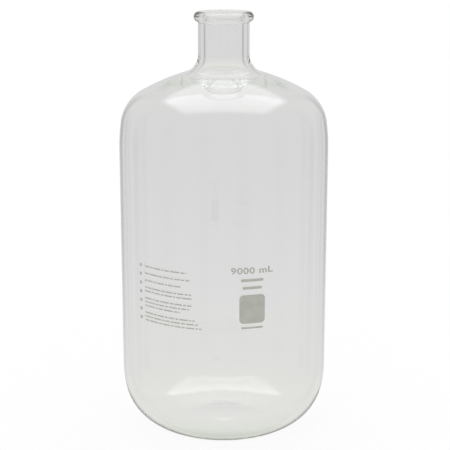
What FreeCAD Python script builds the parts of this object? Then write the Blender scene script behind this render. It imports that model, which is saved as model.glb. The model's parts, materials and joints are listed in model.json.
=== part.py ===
import FreeCAD, Part
import math
import os

# A nine litre serum bottle: one blown piece of clear borosilicate glass with a
# printed enamel marking on its front. Its axis is Z, it stands on Z = 0, and
# its printed side faces -Y. All sizes are in millimetres and all angles in
# degrees.

# Body: outer radius of the straight wall, its wall and its straight length
body_radius = 104.0
body_wall = 4.5
straight_wall_length = 225.0

# Heel: a tight arc off the floor, then a wide arc that runs into the wall
heel_lower_radius = 51.0
heel_upper_radius = 106.0
heel_upper_sweep = 12.6

# Base: thickness, flat ring that the bottle stands on, and the middle that is
# pushed up inside that ring
base_thickness = 5.0
foot_ring_width = 5.0
push_up_height = 4.0

# Shoulder: a wide arc off the wall, a tighter arc, then the cap, which is a long
# arc whose slope falls from the first value to the last on its way to the neck.
# The inside of the cap begins with the same slope and ends with a lower one, so
# the glass thickens close to the neck
shoulder_lower_radius = 178.2
shoulder_lower_sweep = 8.8
shoulder_upper_radius = 39.75
cap_first_slope = 29.15
cap_last_slope = 17.15
cap_inner_last_slope = 12.15

# Neck: outer radius, wall, the curves at its root outside and inside, and its
# length from the end of the outer curve to the top of the lip
neck_radius = 25.25
neck_wall = 4.75
outer_root_radius = 17.75
inner_root_radius = 24.0
neck_length = 42.1

# Lip: a round bead, how far it stands out, the small hollow curve under it,
# and the rounding of the mouth's inner edge
bead_radius = 5.0
bead_overhang = 4.1
under_bead_radius = 1.5
mouth_rounding = 3.0

# Fired enamel, a little thicker than the real film so that it is a sound solid
enamel_thickness = 0.15

# Marking beside the front: its middle, measured round the wall from -Y towards
# +X, and the size and height of each field
marking_position = 27.4
capacity_width = 41.2
capacity_tall = 6.2
capacity_height = 188.7
upper_line_width = 21.6
upper_line_tall = 2.6
upper_line_height = 179.2
lower_line_width = 18.7
lower_line_tall = 2.6
lower_line_height = 171.7
last_line_width = 21.3
last_line_tall = 1.7
last_line_height = 132.2
patch_width = 25.0
patch_tall = 28.3
patch_corner = 4.0
patch_height = 150.7

# Notes block on the left: the left end of its lines, the height of the first
# line, the lengths of the lines of each note, and the column of squares
notes_start = -85.0
notes_height = 184.9
note_line_lengths = ((49.0,), (52.0,), (42.5,), (53.5, 54.0), (54.0, 51.5, 42.0), (57.0, 60.0, 63.5))
note_line_tall = 1.25
note_line_pitch = 3.8
note_gap = 7.0
square_position = -91.6
square_side = 3.0
square_count = 7
square_pitch = 8.8

# Sizes worked out from the ones above
body_bore = body_radius - body_wall
neck_bore = neck_radius - neck_wall
heel_height = heel_lower_radius + (heel_upper_radius - heel_lower_radius) * math.sin(
    math.radians(heel_upper_sweep))
shoulder_start = heel_height + straight_wall_length


def point(radius, height):
    """A point of the bottle's half section, which lies in the XZ plane."""
    return FreeCAD.Vector(radius, 0.0, height)


def on_circle(centre, radius, angle):
    """The point of a circle in the half section, at an angle from the +X direction."""
    turn = math.radians(angle)
    return point(centre.x + radius * math.cos(turn), centre.z + radius * math.sin(turn))


def line(start, end):
    return Part.LineSegment(start, end).toShape()


def arc(centre, radius, start, end):
    """An arc of the half section from one angle to another, through the angle half way."""
    ends = [on_circle(centre, radius, angle) for angle in (start, (start + end) / 2, end)]
    return Part.Arc(*ends).toShape()


def push_up(edge_radius, edge_height):
    """From the axis out to a flat edge: two equal arcs, level at both ends."""
    bend = (edge_radius ** 2 + push_up_height ** 2) / (4 * push_up_height)
    sweep = math.degrees(math.asin(edge_radius / (2 * bend)))
    crown = point(0.0, edge_height + push_up_height - bend)
    valley = point(edge_radius, edge_height + bend)
    return [arc(crown, bend, 90, 90 - sweep), arc(valley, bend, 270 - sweep, 270)]


def heel(wall_radius, upper_radius, lower_radius, floor_height):
    """From the floor up to the straight wall, and the radius at which it leaves the floor."""
    between = upper_radius - lower_radius
    drop = heel_height - floor_height - lower_radius
    sweep = math.degrees(math.asin(drop / between))
    upper_centre = point(wall_radius - upper_radius, heel_height)
    lower_centre = on_circle(upper_centre, between, -sweep)
    arcs = [arc(lower_centre, lower_radius, -90, -sweep), arc(upper_centre, upper_radius, -sweep, 0)]
    return arcs, lower_centre.x


def shoulder(inset, side_radius, root_radius, last_slope):
    """From the straight wall over the cap to the neck's side, and the height where that begins."""
    lower_radius = shoulder_lower_radius - inset
    upper_radius = shoulder_upper_radius - inset
    first, last = 90.0 - cap_first_slope, 90.0 - last_slope
    lower_centre = point(body_radius - inset - lower_radius, shoulder_start)
    upper_centre = on_circle(lower_centre, lower_radius - upper_radius, shoulder_lower_sweep)
    cap_start = on_circle(upper_centre, upper_radius, first)

    lean_first, lean_last = math.cos(math.radians(first)), math.cos(math.radians(last))
    cap_end_radius = side_radius + root_radius * (1 - lean_last)
    cap_radius = (cap_start.x - cap_end_radius) / (lean_first - lean_last)
    cap_centre = on_circle(cap_start, -cap_radius, first)
    root_centre = on_circle(cap_centre, cap_radius + root_radius, last)
    arcs = [
        arc(lower_centre, lower_radius, 0, shoulder_lower_sweep),
        arc(upper_centre, upper_radius, shoulder_lower_sweep, first),
        arc(cap_centre, cap_radius, first, last),
        arc(root_centre, root_radius, 180 + last, 180),
    ]
    return arcs, root_centre.z


def outer_lip(neck_top, lip_top):
    """From the straight neck over the bead to the flat top of the lip."""
    bead = point(neck_radius + bead_overhang - bead_radius, lip_top - bead_radius)
    reach = bead_radius + under_bead_radius
    across = neck_radius + under_bead_radius - bead.x
    lean = math.degrees(math.acos(across / reach))
    hollow = on_circle(bead, reach, -lean)
    return [
        line(point(neck_radius, neck_top), point(neck_radius, hollow.z)),
        arc(hollow, under_bead_radius, 180, 180 - lean),
        arc(bead, bead_radius, -lean, 90),
    ]


def bottle_section():
    """The closed half section of the glass: outside going up, then inside coming down."""
    outer_heel, foot_radius = heel(body_radius, heel_upper_radius, heel_lower_radius, 0.0)
    inner_heel, floor_radius = heel(
        body_bore, heel_upper_radius - body_wall, heel_lower_radius - body_wall, base_thickness)
    ring_radius = foot_radius - foot_ring_width
    outer_shoulder, outer_neck = shoulder(0.0, neck_radius, outer_root_radius, cap_last_slope)
    inner_shoulder, inner_neck = shoulder(
        body_wall, neck_bore, inner_root_radius, cap_inner_last_slope)
    lip_top = outer_neck + neck_length
    bead_top = point(neck_radius + bead_overhang - bead_radius, lip_top)
    mouth = point(neck_bore + mouth_rounding, lip_top - mouth_rounding)

    outside = push_up(ring_radius, 0.0)
    outside += [line(point(ring_radius, 0.0), point(foot_radius, 0.0))]
    outside += outer_heel
    outside += [line(point(body_radius, heel_height), point(body_radius, shoulder_start))]
    outside += outer_shoulder + outer_lip(outer_neck, lip_top)
    inside = [
        line(bead_top, point(mouth.x, lip_top)),
        arc(mouth, mouth_rounding, 90, 180),
        line(point(neck_bore, mouth.z), point(neck_bore, inner_neck)),
    ]
    inside += inner_shoulder
    inside += [line(point(body_bore, shoulder_start), point(body_bore, heel_height))]
    inside += inner_heel + push_up(floor_radius, base_thickness)
    axis = line(point(0.0, push_up_height), point(0.0, base_thickness + push_up_height))
    return Part.Wire(Part.sortEdges(outside + inside + [axis])[0])


def bottle():
    """The blown glass, one solid of revolution."""
    section = Part.Face(bottle_section())
    return section.revolve(FreeCAD.Vector(0, 0, 0), FreeCAD.Vector(0, 0, 1), 360)


def enamel_field(position, height, width, tall, corner=0.0):
    """One printed field: a thin rectangle wrapped on the wall, centred at a place and height."""
    film_radius = body_radius + enamel_thickness
    half_chord = film_radius * math.sin(width / 2 / body_radius)
    low = height - tall / 2
    in_front = FreeCAD.Vector(-half_chord, -2 * body_radius, low)
    plate = Part.makeBox(2 * half_chord, 2 * body_radius, tall, in_front)
    if corner:
        corners = [edge for edge in plate.Edges if edge.BoundBox.YLength > body_radius]
        plate = plate.makeFillet(corner, corners)
    bottom = FreeCAD.Vector(0, 0, low)
    film = Part.makeCylinder(film_radius, tall, bottom).cut(Part.makeCylinder(body_radius, tall, bottom))
    field = plate.common(film)
    turn = math.degrees(position / body_radius)
    field.rotate(FreeCAD.Vector(0, 0, 0), FreeCAD.Vector(0, 0, 1), turn)
    return field


def capacity_mark():
    """The field that holds the capacity number."""
    return enamel_field(marking_position, capacity_height, capacity_width, capacity_tall)


def marking_lines():
    """Two plain lines under the capacity and a finer one under the writing patch."""
    return Part.makeCompound([
        enamel_field(marking_position, upper_line_height, upper_line_width, upper_line_tall),
        enamel_field(marking_position, lower_line_height, lower_line_width, lower_line_tall),
        enamel_field(marking_position, last_line_height, last_line_width, last_line_tall),
    ])


def writing_patch():
    """The matt patch that takes a pencil, with round corners."""
    return enamel_field(marking_position, patch_height, patch_width, patch_tall, patch_corner)


def notes_block():
    """Plain lines in the place of the notes, with a column of small squares beside them."""
    fields = []
    height = notes_height
    for lengths in note_line_lengths:
        for length in lengths:
            fields.append(enamel_field(notes_start + length / 2, height, length, note_line_tall))
            height -= note_line_pitch
        height -= note_gap - note_line_pitch
    for index in range(square_count):
        square_height = notes_height - index * square_pitch
        fields.append(enamel_field(square_position, square_height, square_side, square_side))
    return Part.makeCompound(fields)


os.makedirs("parts", exist_ok=True)
for node in (bottle, capacity_mark, marking_lines, writing_patch, notes_block):
    node().exportStep(f"parts/{node.__name__}.step")
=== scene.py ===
# %% [markdown]
# A nine litre serum bottle: one blown piece of clear borosilicate glass, with
# a marking in matt enamel on its front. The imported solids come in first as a
# fixed frame. They stand on Z = 0 with the axis of the bottle on Z and the
# printed side towards -Y, in metres. What is made here is laid over them.

import json
import math

import bpy
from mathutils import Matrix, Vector


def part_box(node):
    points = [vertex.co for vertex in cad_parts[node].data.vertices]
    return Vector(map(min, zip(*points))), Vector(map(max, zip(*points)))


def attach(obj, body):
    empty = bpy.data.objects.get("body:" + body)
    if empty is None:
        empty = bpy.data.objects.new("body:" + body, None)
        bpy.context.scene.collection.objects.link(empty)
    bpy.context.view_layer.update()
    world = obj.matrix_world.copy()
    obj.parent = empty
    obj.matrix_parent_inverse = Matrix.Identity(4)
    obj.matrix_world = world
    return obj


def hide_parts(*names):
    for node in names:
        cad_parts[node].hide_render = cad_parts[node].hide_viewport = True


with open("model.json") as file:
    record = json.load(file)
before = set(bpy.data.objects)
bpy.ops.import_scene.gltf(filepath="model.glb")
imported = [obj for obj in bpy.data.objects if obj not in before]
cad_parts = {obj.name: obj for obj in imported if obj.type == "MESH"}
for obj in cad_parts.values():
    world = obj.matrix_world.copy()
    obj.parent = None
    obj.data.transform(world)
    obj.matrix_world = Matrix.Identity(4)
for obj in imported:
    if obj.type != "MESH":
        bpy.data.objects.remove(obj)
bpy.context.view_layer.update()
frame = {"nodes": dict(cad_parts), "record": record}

# %% [markdown]
# The sizes that the solids know are read from them: the body's radius, the
# height of the lip and the radius of the bore. Everything else is a named
# value, set where it is first used and written in millimetres.

# %% Sizes from the frame
mm = 0.001

bottle_low, bottle_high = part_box("bottle")
body_radius = bottle_high.x
lip_top = bottle_high.z
bore_mount = [mount for mount in frame["record"]["mounts"] if mount["name"] == "neck_bore"][0]
neck_bore = bore_mount["dims"]["r_mm"] * mm
print(f"Body {body_radius / mm:.1f} mm and bore {neck_bore / mm:.1f} mm in radius")
print(f"Lip {lip_top / mm:.1f} mm up")

# %% [markdown]
# The camera stands a little above the lip and looks down at the bottle, with
# a lens about twice the normal length, so that the sides look almost parallel.
# An aim point and a tracking constraint would do it too, but a plain place and
# tilt are easier to match to a view by measuring.

# %% Camera
camera_distance = 1236.8 * mm
camera_height = 517.4 * mm
camera_side = 1.2 * mm
camera_tilt = math.radians(14.06)
camera_lens = 100.6

camera = bpy.data.cameras.new("camera")
camera.lens = camera_lens
camera_object = bpy.data.objects.new("camera", camera)
camera_object.location = (camera_side, -camera_distance, camera_height)
camera_object.rotation_euler = (math.pi / 2 - camera_tilt, 0, 0)
bpy.context.scene.collection.objects.link(camera_object)
bpy.context.scene.camera = camera_object
bpy.context.scene.view_settings.view_transform = "Standard"
print(f"Camera {camera_distance:.2f} m in front, {camera_height:.2f} m up")

# %% [markdown]
# Two helpers serve every finish. Colours are written as the hex values that
# a screen shows, and a shader wants them linear. Shader nodes are added with
# their settings and their inputs in one call, where an input is a plain value
# or the output of an earlier node.

# %% Helpers for finishes
def linear(hex_colour):
    """A screen colour such as "#8090a0" as linear red, green, blue and alpha."""
    values = [int(hex_colour[place:place + 2], 16) / 255 for place in (1, 3, 5)]
    return [v / 12.92 if v <= 0.04045 else ((v + 0.055) / 1.055) ** 2.4 for v in values] + [1.0]


def add_node(tree, kind, inputs=None, **settings):
    """Adds a node to a tree, with its own settings and its inputs."""
    node = tree.nodes.new(kind)
    for name, value in settings.items():
        setattr(node, name, value)
    for name, value in (inputs or {}).items():
        if isinstance(value, bpy.types.NodeSocket):
            tree.links.new(value, node.inputs[name])
        else:
            node.inputs[name].default_value = value
    return node


# %% [markdown]
# Clear glass has almost no look of its own: it shows what stands round it. A
# glass photographer puts a pale panel behind a bottle and leaves darker gaps
# beside the panel, and the wall then gathers those gaps into a fine dark edge.
# Eight pale panels stand round this bottle, so every side has a panel behind
# it and a gap next to it. All of it is painted on the world by direction,
# which is smoother and quieter to render than lamps. Panels and gaps each have
# a level for every elevation, and the floor below has a faint warm tint.

# %% Panel and gap levels
panel_levels = {
    -90: 0.77, -40: 0.78, -24: 0.775, -17: 0.72, -10: 0.68, 10: 0.70, 30: 0.72, 50: 0.70, 90: 0.66}
gap_levels = {
    -90: 0.77, -40: 0.78, -26: 0.75, -20: 0.66, -15: 0.50, -8: 0.40, -4: 0.44, 2: 0.53, 10: 0.58,
    50: 0.69, 90: 0.66}
floor_tint = (0.995, 1.0, 0.955)
floor_begins = -20


def level_ramp(tree, height, levels):
    """The level for a direction's elevation, in degrees, read from its sine."""
    place = add_node(tree, "ShaderNodeMapRange", {"Value": height, "From Min": -1.0, "From Max": 1.0})
    ramp = add_node(tree, "ShaderNodeValToRGB", {"Fac": place.outputs["Result"]})
    stops = ramp.color_ramp.elements
    while len(stops) < len(levels):
        stops.new(0.5)
    for stop, (elevation, level) in zip(stops, levels.items()):
        stop.position = (math.sin(math.radians(elevation)) + 1) / 2
        tint = floor_tint if elevation < floor_begins else (1, 1, 1)
        stop.color = [level * part for part in tint] + [1]
    return ramp.outputs["Color"]


print(len(panel_levels), "levels for the panels and", len(gap_levels), "for the gaps")

# %% [markdown]
# A wide softbox overhead puts the broad white patch on the shoulder and the
# bright line where the neck begins. It is painted too, as a rectangle on a
# flat ceiling with rims that fade inwards. Its rims are given in heights of
# that ceiling, to the side and towards the back. A direction has to rise to
# meet it, and one that hardly rises passes far outside the rims.

# %% Painted softbox
softbox_level = 2.1
softbox_across = (-0.67, 0.71)
softbox_along = (-0.21, 1.15)
softbox_fade = 0.22
lowest_rise = 0.05


def softbox(tree, split):
    """How much of the softbox lies in a direction: 1 inside, fading over its rims to 0."""
    height = add_node(tree, "ShaderNodeMath", {0: split["Z"], 1: lowest_rise}, operation="MAXIMUM")
    rising = add_node(tree, "ShaderNodeMath", {0: split["Z"], 1: 0.0}, operation="GREATER_THAN")
    inside = rising.outputs[0]
    for side, rims in (("X", softbox_across), ("Y", softbox_along)):
        place = add_node(tree, "ShaderNodeMath", {0: split[side], 1: height.outputs[0]}, operation="DIVIDE")
        for rim, inwards in zip(rims, (softbox_fade, -softbox_fade)):
            fade = add_node(tree, "ShaderNodeMapRange", {
                "Value": place.outputs[0], "From Min": rim, "From Max": rim + inwards},
                interpolation_type="SMOOTHSTEP")
            inside = add_node(tree, "ShaderNodeMath", {
                0: fade.outputs[0], 1: inside}, operation="MULTIPLY").outputs[0]
    return inside


print(f"Softbox {softbox_across[1] - softbox_across[0]:.2f} ceiling heights across")

# %% [markdown]
# The world puts the parts together. A cosine of the direction's angle round
# the axis tells panels from gaps. The gaps on the printed side are shallow, or
# the front of the glass would mirror them as stripes. Seen straight on, the
# world is white, and the enamel is lit by a plain even level. Light turns many
# times inside thick glass, so its paths are let go that far.

# %% Studio
panel_count = 8
gap_edge, gap_core = -0.5, -0.95
front_gap_share = 0.35
side_blend = 0.3
even_level = 0.92
light_turns = 24


def build_studio():
    """The world: pale panels with gaps for glass, an even level for the rest, white straight on."""
    world = bpy.data.worlds.new("studio")
    bpy.context.scene.world = world
    world.use_nodes = True
    tree = world.node_tree
    tree.nodes.clear()
    direction = add_node(tree, "ShaderNodeTexCoord").outputs["Generated"]
    split = add_node(tree, "ShaderNodeSeparateXYZ", {"Vector": direction}).outputs
    around = add_node(tree, "ShaderNodeMath", {0: split["X"], 1: split["Y"]}, operation="ARCTAN2")
    turns = add_node(tree, "ShaderNodeMath", {0: around.outputs[0], 1: panel_count}, operation="MULTIPLY")
    wave = add_node(tree, "ShaderNodeMath", {0: turns.outputs[0]}, operation="COSINE")
    gap = add_node(tree, "ShaderNodeMapRange", {
        "Value": wave.outputs[0], "From Min": gap_edge, "From Max": gap_core},
        interpolation_type="SMOOTHSTEP")
    behind = add_node(tree, "ShaderNodeMapRange", {
        "Value": split["Y"], "From Min": -side_blend, "From Max": side_blend, "To Min": front_gap_share})
    depth = add_node(tree, "ShaderNodeMath", {
        0: gap.outputs["Result"], 1: behind.outputs["Result"]}, operation="MULTIPLY")
    panels = level_ramp(tree, split["Z"], panel_levels)
    gaps = level_ramp(tree, split["Z"], gap_levels)
    walls = add_node(tree, "ShaderNodeMixRGB", {
        "Fac": depth.outputs[0], "Color1": panels, "Color2": gaps})
    seen_in_glass = add_node(tree, "ShaderNodeMixRGB", {
        "Fac": softbox(tree, split), "Color1": walls.outputs[0],
        "Color2": (softbox_level, softbox_level, softbox_level, 1)})
    ray = add_node(tree, "ShaderNodeLightPath").outputs
    lit = add_node(tree, "ShaderNodeMixRGB", {
        "Fac": ray["Is Diffuse Ray"], "Color1": seen_in_glass.outputs[0],
        "Color2": (even_level, even_level, even_level, 1)})
    seen = add_node(tree, "ShaderNodeMixRGB", {
        "Fac": ray["Is Camera Ray"], "Color1": lit.outputs[0], "Color2": (1, 1, 1, 1)})
    background = add_node(tree, "ShaderNodeBackground", {"Color": seen.outputs[0]})
    add_node(tree, "ShaderNodeOutputWorld", {"Surface": background.outputs[0]})


build_studio()
paths = bpy.context.scene.cycles
paths.max_bounces = paths.transmission_bounces = paths.glossy_bounces = light_turns
print("Studio of", panel_count, "panels, light let go on for", light_turns, "turns")

# %% [markdown]
# The light that the softbox throws on the enamel and the floor comes from one
# area lamp in its place. Glass already sees the painted softbox, so the lamp
# itself shows neither in reflections nor through the glass.

# %% Overhead lamp
lamp_width = 760 * mm
lamp_depth = 860 * mm
lamp_height = 1000 * mm
lamp_centre = Vector((15 * mm, 300 * mm, lamp_height))
lamp_radiance = 1.6

lamp = bpy.data.lights.new("softbox", "AREA")
lamp.shape = "RECTANGLE"
lamp.size, lamp.size_y = lamp_width, lamp_depth
lamp.energy = lamp_radiance * math.pi * lamp_width * lamp_depth
lamp_object = bpy.data.objects.new("softbox", lamp)
lamp_object.location = lamp_centre
lamp_object.visible_camera = lamp_object.visible_glossy = lamp_object.visible_transmission = False
bpy.context.scene.collection.objects.link(lamp_object)
print(f"Overhead lamp of {lamp.energy:.1f} W")

# %% [markdown]
# The floor is a plain white sheet. Seen straight on it is mostly white with a
# share of its true shading, which keeps a faint shadow. The white part makes
# up for the lamp's light, which fades away from the bottle, so the open floor
# is the same white all over. To rays that come through glass it is clear, so
# that they reach the studio's own pale floor, free of noise. Only a crescent
# under the front of the heel, turned away from the light, is tinted a little
# darker: a painted shadow, seen through the glass.

# %% Floor
floor_radius = 60.0
floor_corners = 96
floor_shading = 0.07
floor_colour = linear("#ebebeb")
# Where the painted shadow in front of the heel lies, and its colour.
shade_outside = (140 * mm, 105 * mm)
shade_front = (-40 * mm, -90 * mm)
painted_shadow_colour = linear("#e0e6df")


def floor_material():
    """White paper that keeps a faint shadow, with a painted shadow in front of the heel."""
    material = bpy.data.materials.new("white_paper_floor")
    material.use_nodes = True
    tree = material.node_tree
    tree.nodes.clear()
    paper = add_node(tree, "ShaderNodeBsdfDiffuse", {"Color": floor_colour})
    even_part = floor_shading * floor_colour[0] * even_level
    lamp_part = floor_shading * floor_colour[0] * lamp_radiance * lamp_width * lamp_depth / (
        math.pi * lamp_height ** 2)
    place = add_node(tree, "ShaderNodeTexCoord").outputs["Object"]
    from_lamp = add_node(tree, "ShaderNodeVectorMath", {
        0: place, 1: lamp_centre}, operation="DISTANCE")
    reach = add_node(tree, "ShaderNodeMath", {
        0: from_lamp.outputs["Value"], 1: lamp_height}, operation="DIVIDE")
    fading = add_node(tree, "ShaderNodeMath", {0: reach.outputs[0], 1: -4.0}, operation="POWER")
    strength = add_node(tree, "ShaderNodeMath", {
        0: fading.outputs[0], 1: -lamp_part / (1 - floor_shading),
        2: (1 - even_part) / (1 - floor_shading)}, operation="MULTIPLY_ADD")
    white = add_node(tree, "ShaderNodeEmission", {
        "Color": (1, 1, 1, 1), "Strength": strength.outputs[0]})
    seen = add_node(tree, "ShaderNodeMixShader", {
        0: floor_shading, 1: white.outputs[0], 2: paper.outputs[0]})

    # The painted shadow: rays through glass see the floor tinted darker in a crescent close in front of the
    # heel.
    from_axis = add_node(tree, "ShaderNodeVectorMath", {0: place}, operation="LENGTH").outputs["Value"]
    towards_back = add_node(tree, "ShaderNodeSeparateXYZ", {"Vector": place}).outputs["Y"]
    shade = 1.0
    for where, (none, full) in ((from_axis, shade_outside), (towards_back, shade_front)):
        fade = add_node(tree, "ShaderNodeMapRange", {
            "Value": where, "From Min": none, "From Max": full}, interpolation_type="SMOOTHSTEP")
        shade = add_node(tree, "ShaderNodeMath", {
            0: fade.outputs[0], 1: shade}, operation="MULTIPLY").outputs[0]
    through = add_node(tree, "ShaderNodeMixRGB", {
        "Fac": shade, "Color1": (1, 1, 1, 1), "Color2": painted_shadow_colour})
    clear = add_node(tree, "ShaderNodeBsdfTransparent", {"Color": through.outputs[0]})

    ray = add_node(tree, "ShaderNodeLightPath").outputs
    both = add_node(tree, "ShaderNodeMixShader", {
        0: ray["Is Camera Ray"], 1: clear.outputs[0], 2: seen.outputs[0]})
    add_node(tree, "ShaderNodeOutputMaterial", {"Surface": both.outputs[0]})
    return material


def build_floor():
    """A round sheet under the bottle."""
    bpy.ops.object.select_all(action="DESELECT")
    bpy.ops.mesh.primitive_circle_add(vertices=floor_corners, radius=floor_radius, fill_type="NGON")
    sheet = bpy.context.object
    sheet.name = sheet.data.name = "floor"
    sheet.data.materials.append(floor_material())
    return sheet


floor = build_floor()
print("Floor", floor_radius, "m in radius")

# %% [markdown]
# The glass is blown into a turned mould, so it is a body of revolution, and
# what it needs is a fine, smooth half section. It is drawn as one draws with
# a pen: a single vertex is extruded ahead along each straight stretch and
# spun round the centre of each bend. The pen knows its place and its heading,
# so tangent arcs follow each other without any points being worked out.

# %% The pen
arc_step = math.radians(3)
tight_arc = 6 * mm
tight_arc_step = math.radians(7.5)
longest_step = 9 * mm


class Pen:
    """Draws an outline in the XZ plane, in edit mode, from the one selected vertex."""

    def __init__(self, name, radius, height, heading):
        bpy.ops.object.select_all(action="DESELECT")
        bpy.ops.mesh.primitive_plane_add(size=mm)
        self.object = bpy.context.object
        self.object.name = self.object.data.name = name
        bpy.ops.object.mode_set(mode="EDIT")
        bpy.ops.mesh.merge(type="CENTER")
        self.place = Vector((radius, 0, height))
        self.heading = heading
        bpy.ops.transform.translate(value=self.place)

    def ahead(self):
        return Vector((math.cos(self.heading), 0, math.sin(self.heading)))

    def straight(self, length):
        """Goes straight on, in even steps."""
        steps = math.ceil(length / longest_step)
        step = self.ahead() * length / steps
        for _ in range(steps):
            bpy.ops.mesh.extrude_region_move(TRANSFORM_OT_translate={"value": step})
        self.place += step * steps

    def bend(self, radius, turn):
        """Goes round an arc, to the left for a turn above zero and to the right below."""
        side = math.copysign(1, turn)
        to_centre = Vector((-math.sin(self.heading), 0, math.cos(self.heading))) * side * radius
        centre = self.place + to_centre
        step = tight_arc_step if radius < tight_arc else arc_step
        steps = max(3, math.ceil(abs(turn) / step), math.ceil(abs(turn) * radius / longest_step))
        bpy.ops.mesh.spin(steps=steps, angle=turn, center=centre, axis=(0, 1, 0))
        self.heading += turn
        from_centre = Vector((math.sin(self.heading), 0, -math.cos(self.heading))) * side * radius
        self.place = centre + from_centre

    def lift(self):
        """Leaves edit mode and gives the outline drawn so far."""
        bpy.ops.object.mode_set(mode="OBJECT")
        return self.object


# %% [markdown]
# The outside and the inside of the glass are the same stroke at two depths:
# across the pushed-up base, round the heel in two arcs, up the wall, round the
# shoulder in two arcs, over the shallow cap and through the hollow into the
# neck. Inside, the cap flattens more, so the glass thickens close to the neck.
# The outside goes on over the beaded lip to the mouth and meets the inside.

# %% The half section
body_wall = 4.5 * mm
base_thickness = 5 * mm
straight_wall_length = 225 * mm
heel_lower_radius = 51 * mm
heel_upper_radius = 106 * mm
heel_upper_sweep = math.radians(12.6)
foot_ring_width = 5 * mm
push_up_height = 4 * mm
shoulder_lower_radius = 178.2 * mm
shoulder_lower_sweep = math.radians(8.8)
shoulder_upper_radius = 39.75 * mm
cap_first_slope = math.radians(29.15)
cap_last_slope = math.radians(17.15)
cap_inner_last_slope = math.radians(12.15)
neck_radius = 25.25 * mm
outer_root_radius = 17.75 * mm
inner_root_radius = 24 * mm
bead_radius = 5 * mm
bead_overhang = 4.1 * mm
under_bead_radius = 1.5 * mm
mouth_rounding = 3 * mm

heel_height = heel_lower_radius + (heel_upper_radius - heel_lower_radius) * math.sin(heel_upper_sweep)


def draw_side(name, floor_height, inset, flat, neck, root, last_slope):
    """From the axis over the base and up to the neck, set in from the outside by the wall."""
    lower, upper = heel_lower_radius - inset, heel_upper_radius - inset
    heel_sweep = math.asin((heel_height - floor_height - lower) / (upper - lower))
    heel_edge = body_radius - inset - upper + (upper - lower) * math.cos(heel_sweep)
    ring = heel_edge - flat
    swell = (ring ** 2 + push_up_height ** 2) / (4 * push_up_height)
    swell_sweep = math.asin(ring / (2 * swell))
    pen = Pen(name, 0, floor_height + push_up_height, 0)
    pen.bend(swell, -swell_sweep)
    pen.bend(swell, swell_sweep)
    if flat:
        pen.straight(flat)
    pen.bend(lower, math.pi / 2 - heel_sweep)
    pen.bend(upper, heel_sweep)
    pen.straight(straight_wall_length)
    pen.bend(shoulder_lower_radius - inset, shoulder_lower_sweep)
    pen.bend(shoulder_upper_radius - inset, math.pi / 2 - shoulder_lower_sweep - cap_first_slope)
    cap_end = neck + root * (1 - math.sin(last_slope))
    cap_radius = (pen.place.x - cap_end) / (math.sin(cap_first_slope) - math.sin(last_slope))
    pen.bend(cap_radius, cap_first_slope - last_slope)
    pen.bend(root, last_slope - math.pi / 2)
    return pen


def draw_outside():
    """The outside, on over the bead and the flat top of the lip, and round into the mouth."""
    pen = draw_side("outside", 0, 0, foot_ring_width, neck_radius, outer_root_radius, cap_last_slope)
    bead_centre = neck_radius + bead_overhang - bead_radius
    reach = bead_radius + under_bead_radius
    lean = math.acos((neck_radius + under_bead_radius - bead_centre) / reach)
    under_bead = lip_top - bead_radius - reach * math.sin(lean)
    pen.straight(under_bead - pen.place.z)
    pen.bend(under_bead_radius, -lean)
    pen.bend(bead_radius, lean + math.pi / 2)
    pen.straight(bead_centre - neck_bore - mouth_rounding)
    pen.bend(mouth_rounding, math.pi / 2)
    return pen.lift()


def draw_inside():
    """The inside, up the bore to where the mouth begins to round."""
    pen = draw_side(
        "inside", base_thickness, body_wall, 0, neck_bore, inner_root_radius, cap_inner_last_slope)
    pen.straight(lip_top - mouth_rounding - pen.place.z)
    return pen.lift()


outline_parts = [draw_outside(), draw_inside()]
print("Half section of", sum(len(part.data.vertices) for part in outline_parts), "points")

# %% [markdown]
# The two strokes are joined, welded at the mouth and spun once round the axis.
# Welding again closes the seam and the two poles on the axis. The sheet is
# then closed all round, so its faces are turned outwards and shaded smooth.

# %% Spin the glass
glass_segments = 192
weld = 0.01 * mm


def spin_glass(parts):
    """Joins the outline's parts and turns them into the closed skin of the glass."""
    bpy.ops.object.select_all(action="DESELECT")
    for part in parts:
        part.select_set(True)
    bpy.context.view_layer.objects.active = parts[0]
    bpy.ops.object.join()
    glass = bpy.context.object
    glass.name = glass.data.name = "glass"
    bpy.ops.object.mode_set(mode="EDIT")
    bpy.ops.mesh.select_all(action="SELECT")
    bpy.ops.mesh.remove_doubles(threshold=weld)
    bpy.ops.mesh.spin(steps=glass_segments, angle=2 * math.pi, center=(0, 0, 0), axis=(0, 0, 1))
    bpy.ops.mesh.select_all(action="SELECT")
    bpy.ops.mesh.remove_doubles(threshold=weld)
    bpy.ops.mesh.normals_make_consistent(inside=False)
    bpy.ops.object.mode_set(mode="OBJECT")
    bpy.ops.object.shade_smooth()
    return glass


glass = spin_glass(outline_parts)
print("Glass of", len(glass.data.polygons), "faces")

# %% [markdown]
# Borosilicate glass is clear, with a slight green cast that shows only where
# the light goes a long way through it, as in the base and the lip. So its
# colour is not on the surface: it is a faint absorption in the volume. Glass
# that was blown and turned in a mould is also never quite even. Shallow waves
# stand in it, longer upwards than round it, and a very slight bump bends the
# reflections in the way that they do.

# %% Glass finish
glass_ior = 1.474
wave_length = 45 * mm
wave_stretch = 0.45
wave_depth = 0.02 * mm
cast_colour = "#f3faee"
cast_density = 6.0


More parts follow.
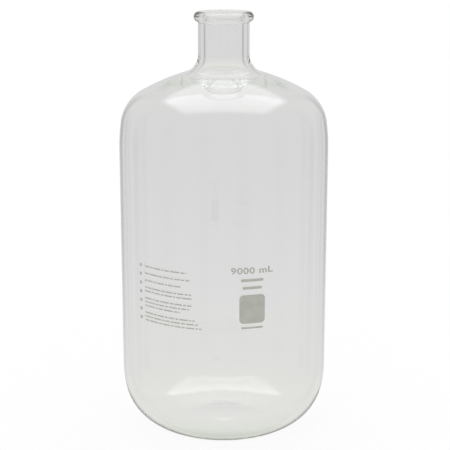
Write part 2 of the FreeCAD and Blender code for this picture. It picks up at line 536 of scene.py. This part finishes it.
def glass_material():
    """Clear blown borosilicate glass."""
    material = bpy.data.materials.new("blown_borosilicate_glass")
    material.use_nodes = True
    tree = material.node_tree
    tree.nodes.clear()
    place = add_node(tree, "ShaderNodeTexCoord").outputs["Object"]
    stretched = add_node(tree, "ShaderNodeMapping", {"Vector": place, "Scale": (1, 1, wave_stretch)})
    waves = add_node(tree, "ShaderNodeTexNoise", {
        "Vector": stretched.outputs[0], "Scale": 1 / wave_length, "Detail": 1.0, "Roughness": 0.4})
    bump = add_node(tree, "ShaderNodeBump", {
        "Height": waves.outputs["Fac"], "Strength": 1.0, "Distance": wave_depth})
    surface = add_node(tree, "ShaderNodeBsdfPrincipled", {
        "Base Color": (1, 1, 1, 1), "Roughness": 0.0, "IOR": glass_ior,
        "Transmission Weight": 1.0, "Normal": bump.outputs[0]})
    volume = add_node(tree, "ShaderNodeVolumeAbsorption", {
        "Color": linear(cast_colour), "Density": cast_density})
    add_node(tree, "ShaderNodeOutputMaterial", {
        "Surface": surface.outputs[0], "Volume": volume.outputs[0]})
    return material


glass.data.materials.append(glass_material())
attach(glass, "root")
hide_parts("bottle")
print("Glass finished")

# %% [markdown]
# The marking is a thin film on the wall. A printed shape starts out flat and as
# thick as the film. Then it is stood up, bent to the curve of the wall and
# moved onto it, with its back just inside the glass, where fired enamel is.
# Bending a finished flat shape keeps its lines even, as a screen does.

# %% Onto the wall
enamel_thickness = 0.15 * mm
enamel_root = 0.05 * mm
back_radius = body_radius - enamel_root


def thicken(flat):
    """Makes a closed film of a flat shape, from its back at zero up to its face."""
    bpy.context.view_layer.objects.active = flat
    bpy.ops.object.mode_set(mode="EDIT")
    bpy.ops.mesh.select_all(action="SELECT")
    bpy.ops.mesh.remove_doubles(threshold=weld)
    bpy.ops.mesh.extrude_region_move(
        TRANSFORM_OT_translate={"value": (0, 0, enamel_thickness + enamel_root)})
    bpy.ops.mesh.select_all(action="SELECT")
    bpy.ops.mesh.normals_make_consistent(inside=False)
    bpy.ops.object.mode_set(mode="OBJECT")


def onto_wall(flat, around, height):
    """Stands a film up, bends it and moves it to an angle round the wall and a height."""
    flat.rotation_euler = (math.pi / 2, 0, 0)
    bpy.ops.object.transform_apply(location=False, rotation=True, scale=True)
    bpy.context.view_layer.update()
    bend = flat.modifiers.new("curve_of_wall", "SIMPLE_DEFORM")
    bend.deform_method = "BEND"
    bend.deform_axis = "Z"
    bend.angle = flat.dimensions.x / back_radius
    bpy.ops.object.modifier_apply(modifier=bend.name)
    flat.location = (back_radius * math.sin(around), -back_radius * math.cos(around), height)
    flat.rotation_euler = (0, 0, around)
    bpy.ops.object.transform_apply(location=True, rotation=True, scale=True)


# %% [markdown]
# The capacity stands large at the top of the marking, as plain numbers in the
# font that comes with Blender, made a little bolder. It fills the place of the
# film on the solid.

# %% Capacity number
capacity_text = "9000 mL"
letter_gap = 1.08
letter_weight = 0.018
letter_curve_steps = 4


def build_capacity():
    """The capacity number, fitted to its field."""
    low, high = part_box("capacity_mark")
    start, end = [math.asin(x / (body_radius + enamel_thickness)) for x in (low.x, high.x)]
    bpy.ops.object.select_all(action="DESELECT")
    bpy.ops.object.text_add()
    letters = bpy.context.object.data
    letters.body = capacity_text
    letters.space_character = letter_gap
    letters.offset = letter_weight
    letters.resolution_u = letter_curve_steps
    bpy.ops.object.convert(target="MESH")
    flat = bpy.context.object
    flat.name = flat.data.name = "capacity_number"
    bpy.ops.object.origin_set(type="ORIGIN_GEOMETRY", center="BOUNDS")
    flat.location = (0, 0, 0)
    width, tall = (end - start) * back_radius, high.z - low.z
    flat.scale = (width / flat.dimensions.x, tall / flat.dimensions.y, 1)
    bpy.ops.object.transform_apply(location=True, rotation=True, scale=True)
    thicken(flat)
    onto_wall(flat, (start + end) / 2, (low.z + high.z) / 2)
    return flat


capacity = build_capacity()
print("Capacity number of", len(capacity.data.polygons), "faces")

# %% [markdown]
# The notes are too fine to read from a step away and say nothing here: each
# line is a row of short bars, as long as words are, in the place of the plain
# line on the solid. The words' lengths go round in a cycle, and each line
# starts a few words further on, so that neighbours differ. A column of
# small squares stands beside them. Every bar is cut every few millimetres, so
# that it can follow the wall.

# %% Notes
notes_start = -85 * mm
notes_height = 184.9 * mm
note_lines = ((49,), (52,), (42.5,), (53.5, 54), (54, 51.5, 42), (57, 60, 63.5))
line_pitch = 3.8 * mm
note_gap = 7 * mm
word_lengths = (6.4, 3.1, 8.7, 2.2, 5.3, 10.1, 4.2, 7.6, 2.9)
words_skipped = 4
word_gap = 1.2 * mm
word_tall = 1.25 * mm
square_position = -91.6 * mm
square_side = 3 * mm
square_count = 7
square_pitch = 8.8 * mm
bar_cut = 2.5 * mm


def words_on(length, index):
    """Where each word of a line starts and how long it is, going on through the word lengths."""
    start = 0
    while start < length:
        word = min(word_lengths[index % len(word_lengths)] * mm, length - start)
        yield start, word
        start += word + word_gap
        index += 1


def note_bars():
    """Every bar of the notes block: its left end, its middle height, its length and how tall it is."""
    height, index = notes_height, 0
    for note in note_lines:
        for length in note:
            for start, word in words_on(length * mm, index):
                yield notes_start + start, height, word, word_tall
            height -= line_pitch
            index += words_skipped
        height -= note_gap - line_pitch
    left = square_position - square_side / 2
    for square in range(square_count):
        yield left, notes_height - square * square_pitch, square_side, square_side


def build_notes():
    """The notes block, laid out flat round its own middle and then bent to the wall."""
    bars = list(note_bars())
    left, right = min(bar[0] for bar in bars), max(bar[0] + bar[2] for bar in bars)
    low, high = min(bar[1] - bar[3] / 2 for bar in bars), max(bar[1] + bar[3] / 2 for bar in bars)
    middle, level = (left + right) / 2, (low + high) / 2
    pieces = []
    for start, height, length, tall in bars:
        bpy.ops.mesh.primitive_grid_add(
            x_subdivisions=math.ceil(length / bar_cut), y_subdivisions=1, size=1,
            location=(start + length / 2 - middle, height - level, 0))
        pieces.append(bpy.context.object)
        pieces[-1].scale = (length, tall, 1)
    bpy.ops.object.select_all(action="DESELECT")
    for piece in pieces:
        piece.select_set(True)
    bpy.context.view_layer.objects.active = pieces[0]
    bpy.ops.object.join()
    block = bpy.context.object
    block.name = block.data.name = "note_lines"
    bpy.ops.object.transform_apply(location=True, rotation=True, scale=True)
    thicken(block)
    onto_wall(block, middle / body_radius, level)
    return block, len(bars)


notes, bar_count = build_notes()
print("Notes of", bar_count, "bars and squares")

# %% [markdown]
# The marking is enamel: ground glass and grey-green pigment, pressed through
# a screen and fired, so it is matt, nearly opaque and a little uneven where
# the film is thin. The screen's mesh leaves a fine mottle. The real one is
# finer than the picture can show, so it is drawn a little coarser.

# %% Enamel finish
mottle_size = 0.8 * mm
cloud_size = 9 * mm
mottle_depth = 0.01 * mm
film_range = (0.15, 0.35)
enamel_roughness = 0.55
enamel_ior = 1.5
enamel_thin = "#b7b8af"
enamel_full = "#acada4"


def enamel_material():
    """Matt grey-green enamel, screened and fired."""
    material = bpy.data.materials.new("fired_screened_enamel")
    material.use_nodes = True
    tree = material.node_tree
    tree.nodes.clear()
    place = add_node(tree, "ShaderNodeTexCoord").outputs["Object"]
    mottle = add_node(tree, "ShaderNodeTexNoise", {
        "Vector": place, "Scale": 1 / mottle_size, "Detail": 2.0})
    cloud = add_node(tree, "ShaderNodeTexNoise", {
        "Vector": place, "Scale": 1 / cloud_size, "Detail": 1.0})
    film = add_node(tree, "ShaderNodeMath", {
        0: mottle.outputs["Fac"], 1: cloud.outputs["Fac"]}, operation="MULTIPLY")
    colour = add_node(tree, "ShaderNodeMapRange", {
        "Value": film.outputs[0], "From Min": film_range[0], "From Max": film_range[1]})
    mixed = add_node(tree, "ShaderNodeMixRGB", {
        "Fac": colour.outputs["Result"], "Color1": linear(enamel_thin), "Color2": linear(enamel_full)})
    bump = add_node(tree, "ShaderNodeBump", {
        "Height": mottle.outputs["Fac"], "Strength": 1.0, "Distance": mottle_depth})
    surface = add_node(tree, "ShaderNodeBsdfPrincipled", {
        "Base Color": mixed.outputs[0], "Roughness": enamel_roughness, "IOR": enamel_ior,
        "Normal": bump.outputs[0]})
    add_node(tree, "ShaderNodeOutputMaterial", {"Surface": surface.outputs[0]})
    return material


enamel = enamel_material()
for piece, node in ((capacity, "capacity_mark"), (notes, "notes_block")):
    piece.data.materials.append(enamel)
    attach(piece, "root")
    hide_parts(node)
for node in ("marking_lines", "writing_patch"):
    for slot in frame["nodes"][node].material_slots:
        slot.material = enamel
print("Enamel on the number, the notes, the lines and the patch")
